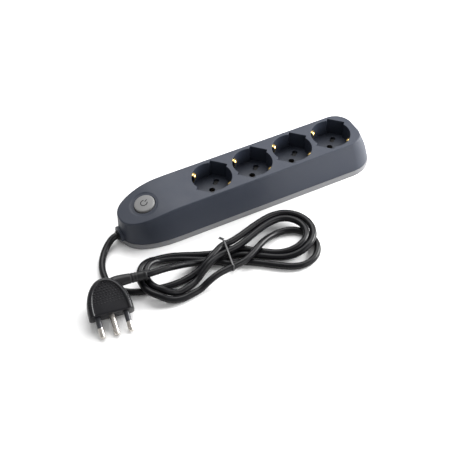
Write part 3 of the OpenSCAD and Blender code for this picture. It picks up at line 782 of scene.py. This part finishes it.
def make_button(material, ink):
    """Push button with an eased rim and a faintly domed face, and the standby symbol on it."""
    place = switch_place()
    radius = 10.0
    crown = BUTTON_PROUD
    profile = [(0, -1.2), (radius - 1.6, -1.2), (radius - 1.6, -8), (radius, -8), (radius, crown - 1.1)]
    rim = [math.radians(d) for d in range(15, 90, 15)]
    profile += [(radius - 1 + math.cos(a), crown - 1.1 + math.sin(a)) for a in rim]
    dome = (0.88, 0.75, 0.55, 0.35, 0.15)
    profile += [(radius * f, crown - 0.1 + 0.3 * (1 - f * f)) for f in dome] + [(0, crown + 0.2)]
    button = outward(make_piece("button_cap", *placed(lathe(profile, 72), place)))
    finish_surface(button, sharp=40)
    settle(button, material, "button_plastic", "button", ["switch_button"])

    def face_z(r):
        return crown - 0.1 + 0.3 * (1 - (r / radius) ** 2)

    def ribbon(line, half):
        section = [(half, 0.1), (-half, 0.1), (-half, -0.2), (half, -0.2)]
        return swept([Vector((x, y, face_z(math.hypot(x, y)))) for x, y in line], section)

    turn, gap, half_line = 28, 42, 0.42
    a = math.radians(turn)
    ring = ribbon(arc((0, 0), 3.2, turn + gap, turn + 360 - gap, 40), half_line)
    bar = ribbon([(r * math.cos(a), r * math.sin(a)) for r in (1.5, 2.5, 3.5, 4.6)], half_line)
    symbol = outward(make_piece("standby_symbol", *placed(join_shapes(ring, bar), place)))
    finish_surface(symbol, weighted=False)
    settle(symbol, ink, "shutter_plastic", "button")


# ---------------------------------------------------------------- plug
def plug_place():
    """The plug's own frame: x across its flat face, y from that face to the arch, z through it."""
    back = -PIN_AXIS
    return axes(PLUG_FACE, PLUG_SIDE, back, PLUG_SIDE.cross(back))


# Rim and recess of the plug's face, as (distance in from the outline, height above the middle plane).
PLUG_FACE_PROFILE = [
    (0, 0), (0, 2.6), (0.12, 3.9), (0.45, 5.1), (1.0, 6.2), (1.8, 7.1), (2.7, 7.7), (3.5, 7.97), (4.1, 8.0),
    (4.5, 7.9), (4.85, 7.6), (5.1, 7.3), (5.4, 7.1), (5.9, 7.03), (7.5, 7.05), (10, 7.12), (14, 7.2),
    (17.5, 7.25), (20.5, 7.27),
]
PLUG_RIM = 5.9  # width of the rim round the recess, a row of the table above
GRIP_Z, RIB_Z = 7.12, 7.05  # height of the dashes and of the rim's ribs above the middle plane
GRIP_PITCH, GRIP_ROW, GRIP_ROWS = 2.75, 2.4, 9


def plug_row(inset):
    """The plug's outline pulled in by inset: up one side, over the arch and down the other side."""
    half = PLUG_W / 2
    steps = 32
    rise = [0, 0.12, 0.4, 0.9, 1.6, 2.8]
    row = [(math.pi, y) for y in rise]
    row += [(math.pi - math.pi * i / steps, None) for i in range(steps + 1)]
    row += [(0, y) for y in reversed(rise)]
    out = []
    for a, y in row:
        narrow = 1 - 0.42 * math.sin(a) ** 2 if y is None else 1
        edge = PLUG_RIM * narrow
        if inset <= PLUG_RIM:
            pull = inset * narrow
        else:
            pull = edge + (inset - PLUG_RIM) * (half - edge) / (half - PLUG_RIM)
        height = (PLUG_L - PLUG_FOOT) * (1 - pull / half)
        out.append(((half - pull) * math.cos(a), PLUG_FOOT + height * math.sin(a) if y is None else y))
    return out


def plug_height(inset, y):
    """Height of the face over the middle plane, with the edge towards the pins eased."""
    z = next(
        mix(z0, z1, (inset - i0) / (i1 - i0))
        for (i0, z0), (i1, z1) in zip(PLUG_FACE_PROFILE[1:], PLUG_FACE_PROFILE[2:])
        if inset <= i1
    )
    ease = 1.2
    return z - (ease - math.sqrt(ease * ease - (ease - y) ** 2) if y < ease else 0) * (z / 8) ** 2


def plug_shell():
    """Both faces of the plug and the flat face between them."""
    rows = []
    for k, (inset, height) in enumerate(PLUG_FACE_PROFILE):
        share = height / PLUG_FACE_PROFILE[1][1] if k < 2 else 1
        rows.append([(x, y, plug_height(inset, y) * share) for x, y in plug_row(inset)])
    n = len(rows[0])
    points, faces = [], []
    for sign in (1, -1):
        start = len(points)
        points += [Vector((x, y, sign * z)) for row in rows for x, y, z in row]
        for k in range(len(rows) - 1):
            for i in range(n - 1):
                a = start + k * n + i
                faces.append((a, a + 1, a + n + 1, a + n))
    other = len(rows) * n
    for k in range(len(rows) - 1):
        for end in (0, n - 1):
            a, b = k * n + end, (k + 1) * n + end
            faces.append((a, b, other + b, other + a))
    return points, faces


def pill(length, width, height):
    """Low rounded dash, half sunk in the surface that it stands on."""
    profile = [(math.sin(math.pi * i / 6), -math.cos(math.pi * i / 6)) for i in range(7)]
    profile[0], profile[-1] = (0, -1), (0, 1)
    points, faces = lathe(profile, 12)
    return [Vector((p.x * length / 2, p.y * width / 2, p.z * height)) for p in points], faces


def grip_texture():
    """Rows of raised dashes on both faces, getting shallower towards the pins, and short ribs on the rims."""
    shapes = []
    half = PLUG_W / 2
    for row in range(GRIP_ROWS):
        y = 29.6 - GRIP_ROW * row
        reach = (half - 5.2) * math.sqrt(1 - max(0, (y - PLUG_FOOT) / (PLUG_L - PLUG_FOOT - 3.2)) ** 2) - 1.2
        count = int(reach * 2 / GRIP_PITCH)
        height = mix(0.9, 0.45, row / (GRIP_ROWS - 1))
        for i in range(count + 1):
            x = (i - count / 2) * GRIP_PITCH
            for sign in (1, -1):
                spot = Matrix.Translation((x, y, sign * GRIP_Z))
                shapes.append(placed(pill(1.75, 1.05, height), spot))
    for side in (-1, 1):
        for i in range(4):
            for sign in (1, -1):
                tilt = Matrix.Rotation(side * sign * math.radians(32), 4, "Y")
                y = 7.5 + 2.3 * i
                rim_x = half * math.sqrt(1 - ((y - PLUG_FOOT) / (PLUG_L - PLUG_FOOT)) ** 2) - 2.0
                spot = Matrix.Translation((side * rim_x, y, sign * RIB_Z))
                shapes.append(placed(pill(2.9, 1.0, 0.55), spot @ tilt))
    return shapes


def make_plug(material):
    """Plug body: a closed casing with its grip texture."""
    body = outward(make_piece("plug_casing", *join_shapes(plug_shell())))
    mesh_of(body, lambda edit: bmesh.ops.remove_doubles(edit, verts=edit.verts, dist=0.002 * MM))
    outward(body)
    points = [v.co / MM for v in body.data.vertices]
    faces = [tuple(p.vertices) for p in body.data.polygons]
    bpy.data.objects.remove(body)
    casing = make_piece("plug_casing", *placed(join_shapes((points, faces), *grip_texture()), plug_place()))
    finish_surface(casing, sharp=40, weighted=False)
    return settle(casing, material, "plug_plastic", stands_for=["plug_body"])


def make_relief(material):
    """Tapered strain relief: it grows out of the arch, has grooves near its end and ends in a collar."""
    route = [(2, 26.2, 0), (7, 28.6, 0), (12, 29.8, 0), (18, 30.1, 0), (28, 29.8, 0), (40, 29.5, 0)]
    line = smooth_line(route, 14)
    total = len(line) - 1

    def radius(x):
        size = 5.9 - 1.35 * blend_step(x, 4, 30)
        for groove in (25.5, 28.5, 31.5):
            size -= 0.55 * max(0, 1 - abs(x - groove) / 0.75)
        if x > 37.4:
            size = 5.0 - 0.5 * max(0, (x - 39.4) / 0.6)
        return size

    def section(share):
        x = line[round(share * total)].x
        turns = [math.tau * i / 40 for i in range(40)]
        return [(radius(x) * math.cos(a), radius(x) * math.sin(a)) for a in turns]

    relief = outward(make_piece("plug_strain_relief", *placed(swept(line, section), plug_place())))
    finish_surface(relief, sharp=45)
    return settle(relief, material, "cord_pvc", stands_for=["plug_relief"])


def pin_profile(start, radius):
    """A pin from start to its rounded tip."""
    ease = 1.1
    angles = [math.radians(d) for d in range(0, 91, 15)]
    tip = [(radius - ease + ease * math.cos(a), PIN_L - ease + ease * math.sin(a)) for a in angles]
    return [(0, start), (radius, start)] + tip + [(0, PIN_L)]


def make_pins(material, sleeve_material):
    """Three pins, and the sleeves of the outer two."""
    out = []
    pins = (("live_pin", PIN_GAP, SLEEVE_L), ("neutral_pin", -PIN_GAP, SLEEVE_L), ("earth_pin", 0, 0))
    for name, x, bare_from in pins:
        place = plug_place() @ axes((x, 0, 0), (1, 0, 0), (0, 0, 1), (0, -1, 0))
        start = bare_from - 0.6 if bare_from else -2
        pin = outward(make_piece(f"{name}_piece", *placed(lathe(pin_profile(start, PIN_R), 40), place)))
        finish_surface(pin, sharp=50)
        out.append(settle(pin, material, "nickel", stands_for=[name]))
    sleeves = []
    for x in (-PIN_GAP, PIN_GAP):
        place = plug_place() @ axes((x, 0, 0), (1, 0, 0), (0, 0, 1), (0, -1, 0))
        profile = [
            (0, -1.5), (PIN_R + 0.25, -1.5), (PIN_R + 0.25, 0.5), (PIN_R + 0.02, 0.9),
            (PIN_R + 0.02, SLEEVE_L - 0.2), (PIN_R - 0.15, SLEEVE_L), (0, SLEEVE_L),
        ]
        sleeves.append(placed(lathe(profile, 40), place))
    sleeve = outward(make_piece("pin_sleeve_pair", *join_shapes(*sleeves)))
    finish_surface(sleeve, sharp=50)
    out.append(settle(sleeve, sleeve_material, "plug_plastic", stands_for=["pin_sleeves"]))
    return out


# ---------------------------------------------------------------- tie
def tie_loop(line, lean):
    """The tight loop round the strands where they pass the tie, as the hull of their circles."""
    strands = []
    for first, second in zip(line, line[1:]):
        cut_a = first.x - TIE_AT.x - lean * (first.y - TIE_AT.y)
        cut_b = second.x - TIE_AT.x - lean * (second.y - TIE_AT.y)
        if cut_a * cut_b <= 0 and cut_a != cut_b:
            strands.append(first.lerp(second, cut_a / (cut_a - cut_b)))
    loop = []
    reach = CORD_D / 2 + 0.35
    for i in range(120):
        a = math.tau * i / 120
        across = Vector((0, math.cos(a), math.sin(a)))
        far = max(strands, key=lambda p: p.dot(across))
        y, z = far.y + reach * across.y, max(0.45, far.z + reach * across.z)
        point = Vector((TIE_AT.x + lean * (y - TIE_AT.y), y, z))
        if not loop or (point - loop[-1]).length > 0.05:
            loop.append(point)
    return loop


def make_tie(material, line):
    """Twist tie: a flat strip round the bundle, its ends twisted together at the back."""
    loop = tie_loop(line, TIE_LEAN)
    section = eased_section(1.0, 0.4, 0.16)
    strip = swept(loop, section, closed=True, side=(1, 0, 0))
    knot = max(loop, key=lambda p: p.y + 0.8 * p.z)
    shapes = [strip]
    for phase in (0, math.pi):
        twist = []
        for s in [i * 0.28 for i in range(26)]:
            a = phase + s * 1.5
            x, z = -0.3 * s + 0.75 * math.cos(a), 0.6 + 0.75 * math.sin(a) - 0.1 * s
            twist.append(knot + Vector((x, 0.9 + 0.62 * s, z)))
        shapes.append(swept(twist, eased_section(0.5, 0.42, 0.15)))
    tie = outward(make_piece("twist_tie", *join_shapes(*shapes)))
    finish_surface(tie, sharp=50, weighted=False)
    return settle(tie, material, "tie_plastic", stands_for=["cord_tie"])


# ---------------------------------------------------------------- everything together
add_camera()
add_stage()

cord_material = plastic("cord_sheath", (0.004, 0.004, 0.005), 0.3, 0.02, 1500, spots=0.15, specular=0.18)
shell_material = plastic("shell_grain", (0.022, 0.027, 0.041), 0.5, grain=0.05, spots=0.03, specular=0.3)
tray_material = plastic("tray_grain", (0.17, 0.172, 0.178), 0.5, grain=0.05, spots=0.03, specular=0.3)
button_material = plastic("button_satin", (0.17, 0.17, 0.17), 0.42, grain=0.04, spots=0.03, specular=0.3)
ink_material = plastic("symbol_ink", (0.012, 0.012, 0.014), 0.6, spots=0.05, specular=0.2)
plug_material = plastic("plug_grip", (0.004, 0.004, 0.006), 0.36, 0.05, 1800, spots=0.1, specular=0.3)
relief_material = plastic("relief_sheath", (0.005, 0.005, 0.006), 0.42, grain=0.05, spots=0.1, specular=0.3)
tie_material = plastic("tie_film", (0.016, 0.016, 0.018), 0.22, grain=0.02, spots=0.1)
sleeve_material = plastic("sleeve_nylon", (0.028, 0.030, 0.036), 0.33, spots=0.05)
nickel_material = metal("bright_nickel", (0.56, 0.53, 0.49), 0.28, scale=120, spread=0.02, relief=0)
brass_material = metal("bright_brass", (0.78, 0.55, 0.20), 0.24, scale=200, spread=0.08, relief=0)

cord, cord_length = make_cord()
cord.data.materials.append(cord_material)
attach(cord, "housing")
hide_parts("cord_lead", "cord_hank", "cord_tail")
tie = make_tie(tie_material, smooth_line(cord_points(), 8))

plug = make_plug(plug_material)
relief = make_relief(relief_material)
pins = make_pins(nickel_material, sleeve_material)

make_shell(shell_material)
make_tray(tray_material)
for number, socket in enumerate(SOCKETS, 1):
    make_clip(number, socket, brass_material)
make_button(button_material, ink_material)

# The pieces inside and underneath keep their CAD shape and take the material of their slot.
SLOT_MATERIALS = {
    "zinc_steel": metal("zinc_plate", (0.62, 0.62, 0.64), 0.35),
    "carrier_plastic": plastic("natural_nylon", (0.62, 0.60, 0.54), 0.5),
    "brass": brass_material,
    "shutter_plastic": plastic("black_nylon", (0.012, 0.012, 0.013), 0.5),
    "spring_steel": metal("spring_wire", (0.55, 0.55, 0.57), 0.3),
    "live_wire": plastic("brown_insulation", (0.13, 0.045, 0.018), 0.4),
    "neutral_wire": plastic("blue_insulation", (0.02, 0.07, 0.33), 0.4),
    "earth_wire": plastic("green_yellow_insulation", (0.16, 0.30, 0.02), 0.4),
    "cord_pvc": cord_material,
}
SLOT_OF = {part["node"]: part["material_slot"] for part in frame["record"]["subparts"]}
for node_name, node_object in frame["nodes"].items():
    if SLOT_OF[node_name] in SLOT_MATERIALS:
        node_object.data.materials.clear()
        node_object.data.materials.append(SLOT_MATERIALS[SLOT_OF[node_name]])
